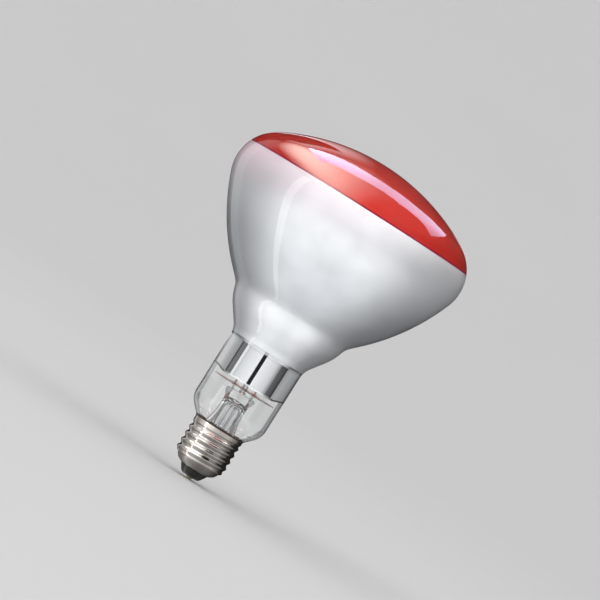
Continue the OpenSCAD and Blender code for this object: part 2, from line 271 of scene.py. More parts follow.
def rounded(profile, radius, steps=4, closed=True):
    """A profile with its corners replaced by small curves. One that isn't closed keeps its ends."""
    made = []
    count = len(profile)
    for i, point in enumerate(profile):
        p = Vector(point)
        if not closed and i in (0, count - 1):
            made.append(p)
            continue
        before, after = Vector(profile[i - 1]) - p, Vector(profile[(i + 1) % count]) - p
        start, end = (p + side.normalized() * min(radius, side.length * 0.45)
                      for side in (before, after))
        made += [start * (1 - t) ** 2 + 2 * t * (1 - t) * p + end * t ** 2
                 for t in (s / steps for s in range(steps + 1))]
    return made


def smooth_path(points, steps=8):
    """A Catmull-Rom curve through the points."""
    p = [Vector(x) for x in points]
    made = []
    for i in range(len(p) - 1):
        a, b, c, d = p[max(i - 1, 0)], p[i], p[i + 1], p[min(i + 2, len(p) - 1)]
        for s in range(steps):
            t = s / steps
            made.append(0.5 * (2 * b + (c - a) * t + (2 * a - 5 * b + 4 * c - d) * t * t
                               + (3 * b - a - 3 * c + d) * t ** 3))
    return made + [p[-1]]


def smooth_profile(points, steps):
    """The same curve through (radius, height) points."""
    return [(max(p.x, 0), p.y) for p in smooth_path([(*point, 0) for point in points], steps)]


def tube(path, radius_at, sides):
    """A round wire along a path, with rounded ends. radius_at takes the share of the path's
    length that lies behind, from 0 to 1."""
    path = [Vector(p) for p in path]
    last = len(path) - 1
    lengths = [0.0]
    for a, b in zip(path, path[1:]):
        lengths.append(lengths[-1] + (b - a).length)
    heading = [(path[min(i + 1, last)] - path[max(i - 1, 0)]).normalized() for i in range(last + 1)]
    side = heading[0].orthogonal().normalized()
    frames = []
    for ahead in heading:
        side = (side - ahead * side.dot(ahead)).normalized()
        frames.append((side.copy(), ahead.cross(side)))

    def ring(i, scale, shift):
        u, v = frames[i]
        r = radius_at(lengths[i] / lengths[-1]) * scale
        origin = path[i] + heading[i] * shift
        return [origin + r * (math.cos(a) * u + math.sin(a) * v) for a in turned(sides)]

    r0, r1 = radius_at(0), radius_at(1)
    rings = [[path[0]], ring(0, 0.6, 0.1 * r0), ring(0, 1, 0.4 * r0)]
    rings += [ring(i, 1, 0) for i in range(1, last)]
    rings += [ring(last, 1, -0.4 * r1), ring(last, 0.6, -0.1 * r1), [path[last]]]
    return swept_rings(rings)


def even(radius):
    return lambda share: radius


def eased(x):
    """0 below 0, 1 above 1, and a smooth step between."""
    x = max(0.0, min(1.0, x))
    return x * x * (3 - 2 * x)


def wobble(x, y, z, seed):
    return noise.noise(Vector((x, y, z)) + Vector((seed, seed * 1.7, seed * 0.3)))


# ---------------------------------------------------------------- material helpers

class Surface:
    """A Principled material whose colour, roughness and bump come from procedural nodes."""

    def __init__(self, name, **constants):
        self.material = bpy.data.materials.new(name)
        self.material.use_nodes = True
        self.tree = self.material.node_tree
        self.shader = next(n for n in self.tree.nodes if n.type == "BSDF_PRINCIPLED")
        for socket, value in constants.items():
            self.shader.inputs[socket.replace("_", " ")].default_value = value
        self.place = self.node("ShaderNodeTexCoord").outputs["Object"]

    def node(self, kind, **settings):
        made = self.tree.nodes.new(kind)
        for key, value in settings.items():
            setattr(made, key, value)
        return made

    def link(self, a, b):
        self.tree.links.new(a, b)

    def stretched(self, x, y, z):
        """The object's coordinates, scaled along each axis."""
        mapping = self.node("ShaderNodeMapping")
        mapping.inputs["Scale"].default_value = (x, y, z)
        self.link(self.place, mapping.inputs["Vector"])
        return mapping.outputs["Vector"]

    def along_axis(self, axis):
        """The place along an axis, in millimetres."""
        split = self.node("ShaderNodeSeparateXYZ")
        self.link(self.place, split.inputs[0])
        return self.combined(split.outputs[axis], MM, "DIVIDE")

    def noise(self, size_mm, detail=3.0, rough=0.5, place=None, distortion=0.0):
        made = self.node("ShaderNodeTexNoise")
        self.link(place or self.place, made.inputs["Vector"])
        made.inputs["Scale"].default_value = 1 / (size_mm * MM)
        made.inputs["Detail"].default_value = detail
        made.inputs["Roughness"].default_value = rough
        made.inputs["Distortion"].default_value = distortion
        return made.outputs["Fac"]

    def between(self, value, low, high, to_low, to_high, smooth=False):
        """value mapped from low..high to to_low..to_high, held at the ends."""
        made = self.node("ShaderNodeMapRange", clamp=True)
        if smooth:
            made.interpolation_type = "SMOOTHSTEP"
        self.link(value, made.inputs["Value"])
        for socket, number in zip(("From Min", "From Max", "To Min", "To Max"),
                                  (low, high, to_low, to_high)):
            made.inputs[socket].default_value = number
        return made.outputs["Result"]

    def combined(self, a, b, operation="MULTIPLY"):
        made = self.node("ShaderNodeMath", operation=operation)
        for socket, value in zip(made.inputs, (a, b)):
            if isinstance(value, (int, float)):
                socket.default_value = value
            else:
                self.link(value, socket)
        return made.outputs[0]

    def blend(self, share, low, high):
        """A colour between low and high. Each is a colour or a socket."""
        made = self.node("ShaderNodeMix", data_type="RGBA")
        self.link(share, made.inputs[0])
        for socket, value in ((made.inputs[6], low), (made.inputs[7], high)):
            if isinstance(value, tuple):
                socket.default_value = (*value, 1)
            else:
                self.link(value, socket)
        return made.outputs[2]

    def colour(self, socket):
        self.link(socket, self.shader.inputs["Base Color"])

    def roughness(self, socket):
        self.link(socket, self.shader.inputs["Roughness"])

    def bump(self, height, depth_mm, strength=1.0, onto=None):
        made = self.node("ShaderNodeBump")
        made.inputs["Strength"].default_value = strength
        made.inputs["Distance"].default_value = depth_mm * MM
        self.link(height, made.inputs["Height"])
        if onto:
            self.link(onto, made.inputs["Normal"])
        self.link(made.outputs["Normal"], self.shader.inputs["Normal"])
        return made.outputs["Normal"]


def mottled(name, tone, dark, light, patches, rough, grain, depth_mm, strength, **constants):
    """A surface with three noises, each (size in millimetres, detail): a tone between two
    colours, patches between two roughnesses, and a grain of some depth."""
    s = Surface(name, **constants)
    s.colour(s.blend(s.noise(*tone), dark, light))
    s.roughness(s.between(s.noise(*patches), 0.3, 0.75, *rough))
    s.bump(s.noise(*grain), depth_mm, strength)
    return s.material


# ---------------------------------------------------------------- materials

def clear_glass():
    s = Surface("clear_glass", Transmission_Weight=1.0, IOR=1.5, Specular_IOR_Level=0.5)
    s.colour(s.blend(s.noise(26, detail=2), (0.955, 0.968, 0.966), (0.985, 0.99, 0.988)))
    s.roughness(s.between(s.noise(9, detail=4), 0.35, 0.75, 0.0, 0.014))
    s.bump(s.noise(34, detail=0.5), 0.01, 0.12)
    return s.material


def stem_glass():
    s = Surface("stem_glass", Transmission_Weight=1.0, IOR=1.52)
    s.colour(s.blend(s.noise(6, detail=2), (0.89, 0.895, 0.895), (0.95, 0.953, 0.952)))
    s.roughness(s.between(s.noise(3, detail=4), 0.35, 0.8, 0.0, 0.05))
    s.bump(s.noise(1.6, detail=2, place=s.stretched(0.5, 0.5, 1.6)), 0.06, 0.6)
    return s.material


def neck_mirror():
    s = Surface("neck_mirror", Metallic=1.0)
    silver = s.blend(s.noise(14, detail=3), (0.62, 0.624, 0.63), (0.67, 0.674, 0.68))
    # Painted shade: the mirror darkens over its fillet, from 68 mm up to where the satin begins.
    fillet = s.between(s.along_axis("Z"), 68.0, FROST_Z, 0.0, 1.0)
    s.colour(s.blend(fillet, silver, (0.44, 0.45, 0.46)))
    s.roughness(s.between(s.noise(5, detail=4), 0.35, 0.8, 0.012, 0.05))
    s.bump(s.noise(22, detail=1.0), 0.06, 0.5)
    return s.material


def film_fringe():
    """The film's lower edge, where it thins out. Its colour is painted light: dark as shade all
    round, and painted bright towards -Y.
    """
    s = Surface("film_fringe", Metallic=1.0)
    dark = s.blend(s.noise(2.5, detail=4), (0.12, 0.115, 0.095), (0.30, 0.28, 0.25))
    # Painted shade on the edge, turned to a painted bright tone towards -Y.
    front = s.between(s.along_axis("Y"), -16.0, -13.2, 1.0, 0.0)
    s.colour(s.blend(front, dark, (0.80, 0.80, 0.80)))
    s.roughness(s.between(s.noise(1.2, detail=4), 0.3, 0.8, 0.18, 0.4))
    s.bump(s.noise(0.6, detail=3), 0.01, 0.5)
    return s.material


def satin_reflector():
    s = Surface("satin_reflector", Metallic=1.0)
    silver = s.blend(s.noise(30, detail=3), (0.88, 0.885, 0.90), (0.94, 0.942, 0.955))
    # Painted reflection of the red face's light: a pink tint on the bowl just below the face,
    # stronger towards -X.
    red_glow_near_face = s.between(s.along_axis("Z"), 127, FACE_EDGE_Z, 0.0, 1.0, smooth=True)
    red_glow_to_minus_x = s.between(s.along_axis("X"), -62, 30, 0.55, 0.06)
    with_painted_red_glow = s.blend(s.combined(red_glow_near_face, red_glow_to_minus_x), silver, (0.98, 0.70, 0.79))
    # Painted shade: a greyer band from just above the groove up to below the shoulder.
    shade_above_groove = s.between(s.along_axis("Z"), 91, 97, 0.0, 1.0, smooth=True)
    shade_below_shoulder = s.between(s.along_axis("Z"), 112, 134, 1.0, 0.0, smooth=True)
    s.colour(s.blend(s.combined(shade_above_groove, shade_below_shoulder), with_painted_red_glow, (0.77, 0.78, 0.80)))
    s.roughness(s.between(s.noise(11, detail=5), 0.3, 0.75, 0.40, 0.50))
    grain = s.noise(0.35, detail=3, rough=0.6)
    bands = s.noise(7, detail=1.5, place=s.stretched(0.15, 0.15, 1.0))
    fine = s.bump(grain, 0.012, 0.35)
    s.bump(bands, 0.2, 0.3, onto=fine)
    return s.material


def nickel_wire():
    s = Surface("nickel_wire", Metallic=1.0)
    s.colour(s.blend(s.noise(1.5, detail=4), (0.44, 0.42, 0.39), (0.66, 0.64, 0.60)))
    s.roughness(s.between(s.noise(0.6, detail=4), 0.3, 0.75, 0.22, 0.45))
    s.bump(s.noise(0.25, detail=3, place=s.stretched(1, 1, 0.2)), 0.02, 0.5)
    return s.material


def mica_sheet():
    s = Surface("mica_sheet", Coat_Weight=0.4, Coat_Roughness=0.2)
    flakes = s.noise(4.5, detail=6, rough=0.65, distortion=1.0)
    s.colour(s.blend(flakes, (0.10, 0.105, 0.10), (0.24, 0.235, 0.22)))
    s.roughness(s.between(s.noise(1.5, detail=5), 0.3, 0.7, 0.25, 0.5))
    s.bump(s.noise(2.2, detail=6, rough=0.7, distortion=2.0), 0.04, 0.8)
    return s.material


def nickel_shell():
    s = Surface("nickel_shell", Metallic=1.0)
    tarnish = s.noise(5, detail=6, rough=0.6, distortion=0.6)
    plated = s.blend(s.between(tarnish, 0.38, 0.7, 0, 1), (0.70, 0.655, 0.62), (0.54, 0.49, 0.455))
    height = s.along_axis("Z")
    lip = s.between(height, LIP_Z + 3.0, LIP_Z + 4.4, 0.7, 0.0)
    s.colour(s.blend(lip, plated, (0.34, 0.315, 0.295)))
    polished = s.between(s.noise(1.6, detail=5), 0.3, 0.75, 0.03, 0.12)
    matte = s.between(height, LIP_Z + 2.4, LIP_Z + 5.0, 0.34, 0.0)
    s.roughness(s.combined(polished, matte, "ADD"))
    rolling = s.noise(0.35, detail=4, place=s.stretched(0.08, 0.08, 1.0))
    dents = s.noise(2.4, detail=3)
    fine = s.bump(rolling, 0.012, 0.5)
    s.bump(dents, 0.05, 0.4, onto=fine)
    return s.material


def cap_cement():
    s = Surface("cap_cement")
    crumbs = s.noise(0.8, detail=6, rough=0.7)
    s.colour(s.blend(crumbs, (0.035, 0.016, 0.008), (0.13, 0.075, 0.045)))
    s.roughness(s.between(s.noise(0.5, detail=4), 0.3, 0.75, 0.6, 0.9))
    s.bump(s.noise(0.35, detail=6, rough=0.7), 0.10, 0.9)
    return s.material


CLEAR = clear_glass()
STEM = stem_glass()
NICKEL = nickel_wire()
RUBY = mottled(
    "ruby_coating", (20, 3), (0.99, 0.054, 0.022), (1.0, 0.088, 0.034), (7, 4), (0.30, 0.42),
    (0.5, 3), 0.01, 0.3, Transmission_Weight=0.93, IOR=1.35)
RUBY_EDGE = mottled(
    "ruby_edge", (3, 4), (0.40, 0.012, 0.07), (0.60, 0.025, 0.11), (2, 3), (0.30, 0.5),
    (0.5, 3), 0.01, 0.4, Transmission_Weight=0.3, IOR=1.35)
DULL = mottled(
    "dull_wire", (1.2, 4), (0.03, 0.028, 0.026), (0.10, 0.094, 0.088), (0.6, 4), (0.3, 0.55),
    (0.25, 3), 0.02, 0.5, Metallic=0.9)
COPPER = mottled(
    "copper_clad_wire", (0.7, 4), (0.14, 0.040, 0.024), (0.30, 0.085, 0.05), (0.4, 4), (0.3, 0.55),
    (0.25, 3), 0.02, 0.5, Metallic=0.75)
TUNGSTEN = mottled(
    "tungsten", (1.0, 3), (0.20, 0.20, 0.215), (0.36, 0.36, 0.38), (0.3, 3), (0.3, 0.5),
    (0.12, 3), 0.01, 0.4, Metallic=1.0)
MOLYBDENUM = mottled(
    "molybdenum", (1.0, 3), (0.36, 0.36, 0.38), (0.52, 0.52, 0.54), (0.3, 3), (0.25, 0.42),
    (0.12, 3), 0.01, 0.4, Metallic=1.0)
BLACK_GLASS = mottled(
    "black_glass", (2, 5), (0.006, 0.0065, 0.006), (0.022, 0.023, 0.02), (1.2, 5), (0.10, 0.26),
    (1.8, 4), 0.05, 0.6, IOR=1.55, Coat_Weight=0.3, Coat_Roughness=0.05)
BRASS = mottled(
    "brass_plate", (0.8, 4), (0.50, 0.40, 0.22), (0.72, 0.60, 0.38), (0.5, 4), (0.2, 0.4),
    (0.3, 4), 0.015, 0.5, Metallic=1.0)
SOLDER = mottled(
    "solder", (0.7, 5), (0.50, 0.50, 0.49), (0.72, 0.72, 0.70), (0.4, 5), (0.22, 0.5),
    (0.5, 4), 0.04, 0.6, Metallic=1.0)


# ---------------------------------------------------------------- the bulb

BULB_COLUMNS = 240
FILM_SEAT = 0.02      # the films are set this far into the glass, so no air lies between them
FILM_T = 0.15
FRINGE_H = 0.9        # the thin edge of the mirror film, painted dark as shade
RUBY_EDGE_H = 0.8     # the thick dark edge of the ruby coating
NECK_TOP_Z = 67.5     # the neck's straight wall ends near here


def bulb_glass():
    profile = [(p.x, p.y) for p in outline(0) + outline(GLASS_T)[::-1]]
    make_piece("bulb_glass", revolved(profile, BULB_COLUMNS), [CLEAR], "envelope_glass")


def film_edge_z(angle):
    """Height of the mirror's lower edge, wavy and lowest towards -Y."""
    step = 1.5 * eased((math.sin(angle) + 0.84) / 0.5)
    waves = (0.14 * math.sin(3 * angle + 0.6) + 0.12 * math.sin(7 * angle + 2.0)
             + 0.08 * math.sin(19 * angle))
    return FILM_LOW_Z + 0.3 + step + waves


def film_layer(name, layer, low_at, materials, zone_at, node):
    """A closed layer against the glass. layer gives its outline at an inset, low edge first.
    low_at gives the height of its low edge at an angle, or None where that is level, and
    zone_at a height's place in materials."""
    outer, inner = layer(GLASS_T - FILM_SEAT), layer(GLASS_T + FILM_T)
    profile = outer + inner[::-1]

    def height(z, angle):
        if not low_at or z >= FROST_Z:
            return z
        return FROST_Z - (FROST_Z - z) / (FROST_Z - outer[0].y) * (FROST_Z - low_at(angle))

    rings = [[(0, 0, p.y)] if p.x < ON_AXIS else
             [(p.x * math.cos(a), p.x * math.sin(a), height(p.y, a)) for a in turned(BULB_COLUMNS)]
             for p in profile]
    shape = swept_loop(rings)
    zones = [zone_at((profile[r].y + profile[(r + 1) % len(profile)].y) / 2) for r in shape[2]]
    make_piece(name, shape, materials, node, zones=zones)


def reflector():
    neck_steps = [FRINGE_H * s / 3 for s in range(4)] + [3.0, 8.0, 14.0]

    def layer(inset):
        neck = [Vector((NECK_R - inset, FILM_LOW_Z + step)) for step in neck_steps]
        return neck + wall(inset, NECK_TOP_Z, FROST_Z) + wall(inset, FROST_Z, FACE_EDGE_Z)[1:]

    def zone(z):
        return 2 if z < FILM_LOW_Z + FRINGE_H else int(z > FROST_Z)

    materials = [neck_mirror(), satin_reflector(), film_fringe()]
    film_layer("mirror_film", layer, film_edge_z, materials, zone, "reflector_film")


def face_coating():
    edge_top = FACE_EDGE_Z + RUBY_EDGE_H

    def layer(inset):
        return wall(inset, FACE_EDGE_Z, edge_top) + wall(inset, edge_top, LAMP_LEN)[1:]

    def zone(z):
        return int(z < edge_top)

    film_layer("ruby_film", layer, None, [RUBY, RUBY_EDGE], zone, "red_face_coating")


bulb_glass()
reflector()
face_coating()


# ---------------------------------------------------------------- the stem

FLARE_RIM_R = 9.7
STEM_WALL = 1.15
STEM_COLUMNS = 96
PRESS_HALF_T = 1.9
VENT_Z = 42.3
VENT_HALF_W = 1.65
VENT_HALF_H = 0.6
VENT_DEPTH = 1.2
VENT_LOW_Z = 40.0


def stem_ring(half_w, half_t, power, z):
    """A ring between a circle (power 2) and a rounded slab (more)."""
    def squared(x):
        return math.copysign(abs(x) ** (2 / power), x)

    return [(half_w * squared(math.cos(a)), half_t * squared(math.sin(a)), z)
            for a in turned(STEM_COLUMNS)]


def dimpled(ring):
    """A ring with the vent's hollow pressed in on the side towards -Y."""
    made = []
    for x, y, z in ring:
        if y < 0 and z > VENT_LOW_Z:
            across = max(0.0, abs(x) - (VENT_HALF_W - VENT_HALF_H)) / VENT_HALF_H
            up = (z - VENT_Z) / VENT_HALF_H
            reach = math.sqrt(across ** 2 + up ** 2)
            depth = VENT_DEPTH / (1 + math.exp((reach - 1) * 7))
            rim = 0.16 * math.exp(-((reach - 1.5) / 0.3) ** 2)
            y += depth - rim
        made.append((x, y, z))
    return made


def stem():
    """The flare, pinched flat at its top into the press. One closed glass surface."""
    outside = smooth_path([
        (FLARE_RIM_R, FLARE_RIM_R, SEAL_Z), (9.1, 9.1, 22), (8.4, 8.4, 26), (7.8, 7.8, 29.5),
        (7.1, 7.1, 31.8), (6.6, 6.6, 34.5), (6.35, 6.35, 38), (6.3, 5.8, 39.8), (6.25, 4.4, 41),
        (6.35, 2.9, 42.2), (6.7, 2.1, 43.4), (7.2, 1.92, 44.6), (7.68, PRESS_HALF_T, 45.8),
        (PRESS_HALF_W, 1.86, 46.5), (7.55, 1.6, 47.1), (6.9, 1.15, 47.45), (5.6, 0.5, PRESS_TOP_Z)
    ], 6)
    inside = smooth_path([
        (FLARE_RIM_R - STEM_WALL, FLARE_RIM_R - STEM_WALL, SEAL_Z), (7.95, 7.95, 22),
        (7.25, 7.25, 26), (6.65, 6.65, 29.5), (5.95, 5.95, 31.8), (5.45, 5.45, 34.5),
        (5.15, 5.1, 38.4), (4.95, 4.6, 39.7), (4.5, 3.4, 40.8), (3.8, 2.0, 41.3), (2.4, 0.8, 41.5)
    ], 5)

    def power(z):
        return 2 + 1.7 * max(0.0, min(1.0, (z - 40) / 4)) - 0.9 * max(0.0, min(1.0, z - 46.6))

    outer = [dimpled(stem_ring(w, t, power(z), z)) for w, t, z in outside] + [[(0, 0, PRESS_TOP_Z)]]
    inner = [stem_ring(w, t, 2, z) for w, t, z in inside] + [[(0, 0, 41.55)]]
    make_piece("glass_stem", swept_loop(outer + inner[::-1]), [STEM], "stem_flare", "stem_press")


def exhaust():
    """The tube, open into the press at its top and melted shut at its tip."""
    bore = EXHAUST_R - 0.8
    tip, top = EXHAUST_TIP_Z, PRESS_Z - 0.4
    outer = [(0, tip), (0.9, tip + 0.25), (1.6, tip + 1.1), (2.15, tip + 2.6), (EXHAUST_R, tip + 5),
             (EXHAUST_R - 0.08, 30), (EXHAUST_R, 37), (EXHAUST_R + 0.05, top)]
    inner = [(bore, top), (bore, 37), (bore, 30), (bore, tip + 5.4), (bore * 0.6, tip + 3.4),
             (0, tip + 2.6)]
    profile = smooth_profile(outer, 5) + smooth_profile(inner, 5)
    make_piece("exhaust_glass", revolved(profile, 48), [STEM], "exhaust_tube")


def rod():
    foot, top, r = PRESS_TOP_Z - 0.1, ROD_TOP_Z, 1.8
    shape = [(r * 0.9, foot), (r * 0.95, foot + 0.9), (r, foot + 2.5), (r, 70), (r, top - 5),
             (r * 1.15, top - 3.8), (BUTTON_R, top - 2.4), (BUTTON_R, top - 1.2),
             (BUTTON_R * 0.8, top - 0.3), (BUTTON_R * 0.35, top)]
    profile = [(0, foot)] + smooth_profile(shape, 6) + [(0, top)]
    make_piece("glass_rod", revolved(profile, 48), [STEM], "support_rod")


stem()
exhaust()
rod()

WELD_HIGH_Z = PRESS_TOP_Z - 2.2
WELD_LOW_Z = PRESS_Z + 0.4
LEAD_TURN = math.radians(37.5)      # from +Y to where a lead meets the filament's ring


def beaded(radius, places, swell, width):
    """A wire's radius along its length, with a weld bead at each place."""
    return lambda share: radius + radius * swell * sum(
        math.exp(-((share - place) / width) ** 2) for place in places)


def leads(side, name):
    x = side * WIRE_X
    seal = [(x, 0, WELD_LOW_Z + (WELD_HIGH_Z - WELD_LOW_Z) * i / 12) for i in range(13)]
    seal = tube(seal, beaded(LEAD_R, (0.0, 0.65), 0.35, 0.12), 20)
    make_piece(f"copper_seal_{name}", seal, [COPPER], f"seal_wire_{name}")
    end_x, end_y = RING_R * math.sin(LEAD_TURN), RING_R * math.cos(LEAD_TURN)
    route = [(x, 0, WELD_HIGH_Z), (x, 0, PRESS_TOP_Z - 0.2),
             (side * (WIRE_X + LEAD_X) / 2, 0, PRESS_TOP_Z + 0.6),
             (side * LEAD_X, 0, PRESS_TOP_Z + 1.2), (side * LEAD_X, 0, DISC_Z + 2),
             (side * (LEAD_X + 0.6), 1.5, 66), (side * (end_x - 0.4), end_y - 3, 93),
             (side * end_x, end_y, RING_Z - 5), (side * end_x, end_y, RING_Z + 1)]
    lead = tube(smooth_path(route), beaded(LEAD_R, (0.015, 0.99), 0.3, 0.012), 18)
    make_piece(f"nickel_lead_{name}", lead, [NICKEL], f"inner_lead_{name}")


leads(-1, "left")
leads(1, "right")


def shield_disc():
    """The mica disc, with a hole for the rod and a slightly uneven edge."""
    columns, half_t, hole = 144, 0.2, 2.0
    radii = [hole + (DISC_R - hole) * i / 24 for i in range(25)]

    def ring(r, offset):
        made = []
        for a in turned(columns):
            x, y = math.cos(a), math.sin(a)
            far = r + (0.10 * wobble(x * 3, y * 3, 0, 5) if r > DISC_R - 0.3 else 0)
            bow = 0.12 * wobble(far * x / 9, far * y / 9, 0, 2)
            made.append((far * x, far * y, DISC_Z + bow + offset))
        return made

    def side(up):
        insets = [0.12 if r > DISC_R - 0.01 else 0 for r in radii]
        return [ring(r - inset, up * (half_t - inset * 0.4)) for r, inset in zip(radii, insets)]

    shape = swept_loop(side(-1) + [ring(DISC_R, 0)] + side(1)[::-1])
    make_piece("mica_disc", shape, [mica_sheet()], "heat_shield_disc")


def eyelet(side, name):
    low, high = DISC_Z - 0.2, DISC_Z + 0.2
    bore, barrel, flange = LEAD_R + 0.03, 0.95, 1.7
    profile = rounded([
        (bore, low - 0.8), (barrel, low - 0.8), (barrel, low - 0.35), (flange, low - 0.35),
        (flange, low), (barrel, low), (barrel, high), (flange, high),
        (flange, high + 0.35), (bore, high + 0.35)
    ], 0.15, 3)
    shape = revolved(profile, 40, (side * LEAD_X, 0))
    make_piece(f"eyelet_{name}", shape, [NICKEL], f"disc_eyelet_{name}")


shield_disc()
eyelet(-1, "left")
eyelet(1, "right")


# ---------------------------------------------------------------- the filament

RING_GAP = 80
RING_START = math.radians(90 + RING_GAP / 2)
RING_SPAN = math.radians(360 - RING_GAP)
SUPPORTS = 5


def coiled_filament():
    """Tungsten wire coiled round the open ring."""
    turns, steps, wire_r = 110, 12, 0.17
    coil_r = COIL_R - wire_r
    path = []
    for i in range(turns * steps + 1):
        share = i / (turns * steps)
        a = RING_START + RING_SPAN * share
        b = 2 * math.pi * i / steps
        r = RING_R + coil_r * math.cos(b)
        path.append((r * math.cos(a), r * math.sin(a), RING_Z + coil_r * math.sin(b)))
    make_piece("coiled_filament", tube(path, even(wire_r), 6), [TUNGSTEN], "filament")


def support_hook(number):
    wire_r = 0.2
    loop_r = COIL_R + wire_r + 0.15
    a = RING_START + RING_SPAN * number / (SUPPORTS + 1)
    flat = smooth_path([
        (BUTTON_R - 0.6, 0, ROD_TOP_Z - 2), (BUTTON_R + 4, 0, ROD_TOP_Z - 0.5),
        (RING_R - 2.5, 0, RING_Z - 3.5), (RING_R - 0.6, 0, RING_Z - loop_r - 0.5)
    ], 6)
    for degrees in range(-90, 199, 12):
        t = math.radians(degrees)
        flat.append(Vector((RING_R + loop_r * math.cos(t), 0, RING_Z + loop_r * math.sin(t))))
    turn = Matrix.Rotation(a, 3, "Z")
    hook = tube([turn @ p for p in flat], even(wire_r), 12)
    make_piece(f"support_hook_{number}", hook, [MOLYBDENUM], f"filament_support_{number}")


coiled_filament()
for number in range(1, SUPPORTS + 1):
    support_hook(number)


# ---------------------------------------------------------------- the outer leads

FUSE_TOP = (4.3, 0, 33.5)
FUSE_FOOT = (3.6, 0, 25)
THREAD_MAJOR_R = 13.1
THREAD_MINOR_R = 12.2
SHELL_T = 0.3
SIDE_LEAD_R = (SEAL_R + THREAD_MINOR_R - SHELL_T) / 2     # between the glass and the shell
TAIL_R = 0.25
FUSE_R = 0.1


def outer_leads():
    paths = (
        ("centre_lead_top", "centre_lead_upper", TAIL_R, 8, [
            (WIRE_X, 0, WELD_LOW_Z), (WIRE_X - 0.2, 0, PRESS_Z - 1.1), (4.4, 0, 35), FUSE_TOP]),
        ("centre_lead_foot", "centre_lead_lower", TAIL_R, 8, [
            FUSE_FOOT, (3.6, 0, 20), (2.4, 0, 14.2), (0.4, 0, 11), (0, 0, 8.5), (0, 0, 0.9)]),
        ("side_lead_wire", "side_lead", TAIL_R, 8, [
            (-WIRE_X, 0, WELD_LOW_Z), (0.2 - WIRE_X, 0, PRESS_Z - 1.1), (-3.6, 0, 28),
            (-3.9, 0.8, 21.5), (-3.2, 5, 17.8), (-1, 9, 17.4), (0, SIDE_LEAD_R, 19.8),
            (0, SIDE_LEAD_R, 23.2), (0, SIDE_LEAD_R, 25.2)]),
        ("fuse_strand", "fuse_wire", FUSE_R, 6, [FUSE_FOOT, (3.85, 0.05, 29), FUSE_TOP]),
    )
    for name, node, radius, steps, path in paths:
        wire = tube(smooth_path(path, steps), even(radius), 14)
        make_piece(name, wire, [DULL], node)


outer_leads()


# ---------------------------------------------------------------- the cap

THREAD_PITCH = 3.629
THREAD_FOOT_Z = 9.2
THREAD_TOP_Z = 26.2
THREAD_FADE = 1.4
RIM_FOOT_R = THREAD_MAJOR_R - 0.1
CREST_PHASE_Z = 1.98
LIP_POINTS = [(7.6, 5.25), (8.75, 5.85), (9.7, 6.45), (10.4, 7.2), (10.9, 8.1), (11.3, 8.8)]
SHELL_COLUMNS = 180
SHELL_ROWS = 150


def thread_radius(z, angle):
    """The shell's outer radius at a height and an angle: the frame's right-hand thread."""
    share = eased((z - THREAD_FOOT_Z) / THREAD_FADE) * eased((THREAD_TOP_Z - z) / THREAD_FADE)
    band = eased((z - THREAD_TOP_Z + THREAD_FADE) / THREAD_FADE)
    base = THREAD_MINOR_R + (RIM_FOOT_R - THREAD_MINOR_R) * band
    wave = (1 + math.cos(2 * math.pi * (z - CREST_PHASE_Z) / THREAD_PITCH - angle)) / 2
    return base + (THREAD_MAJOR_R - THREAD_MINOR_R) * wave * share


def screw_shell():
    lip = smooth_profile(LIP_POINTS, 4)
    rim = [(RIM_FOOT_R, 26.6), (RIM_FOOT_R + 0.04, 27.1), (RIM_FOOT_R + 0.08, 27.5),
           (THREAD_MAJOR_R, RIM_Z - 0.06)]

    def surface(inset, lift):
        rings = [circle_ring(r - inset, z + lift, SHELL_COLUMNS) for r, z in lip]
        for i in range(SHELL_ROWS + 1):
            z = THREAD_FOOT_Z + (THREAD_TOP_Z - THREAD_FOOT_Z) * i / SHELL_ROWS
            polar = [(thread_radius(z, a) - inset, a) for a in turned(SHELL_COLUMNS)]
            rings.append([(r * math.cos(a), r * math.sin(a), z) for r, a in polar])
        return rings + [circle_ring(r - inset, z, SHELL_COLUMNS) for r, z in rim]

    edge = [circle_ring(THREAD_MAJOR_R - SHELL_T / 2, RIM_Z, SHELL_COLUMNS)]
    shape = swept_loop(surface(0, 0) + edge + surface(SHELL_T, SHELL_T)[::-1])
    make_piece("screw_shell", shape, [nickel_shell()], "cap_screw_shell")


def insulator():
    profile = rounded([
        (1.2, 0.85), (4, 1.05), (4.9, 1.5), (6, 3.05), (7.15, 4.95), (7.15, 5.6), (8.3, 6.2),
        (9.3, 6.85), (9.95, 7.6), (10.45, 8.5), (10.6, 9.2), (9.6, 9.4), (3, 8), (0.9, 7),
        (0.9, 2.5), (1.2, 2.5)
    ], 0.45)
    make_piece("black_insulator", revolved(profile, 128), [BLACK_GLASS], "cap_insulator")


def contact():
    profile = rounded([
        (0.65, 0.25), (1.25, 0.25), (1.6, 0.5), (1.65, 0.85), (1.2, 0.85), (1.2, 2.5), (0.65, 2.5)
    ], 0.14, 3)
    make_piece("contact_eyelet", revolved(profile, 64), [BRASS], "centre_contact")
    drop = rounded([
        (0, 0), (1.1, 0), (1.32, 0.1), (1.38, 0.25), (0.64, 0.27), (0.62, 0.9), (0, 0.9)
    ], 0.12, closed=False)
    make_piece("contact_solder", revolved(drop, 48), [SOLDER], "centre_solder")


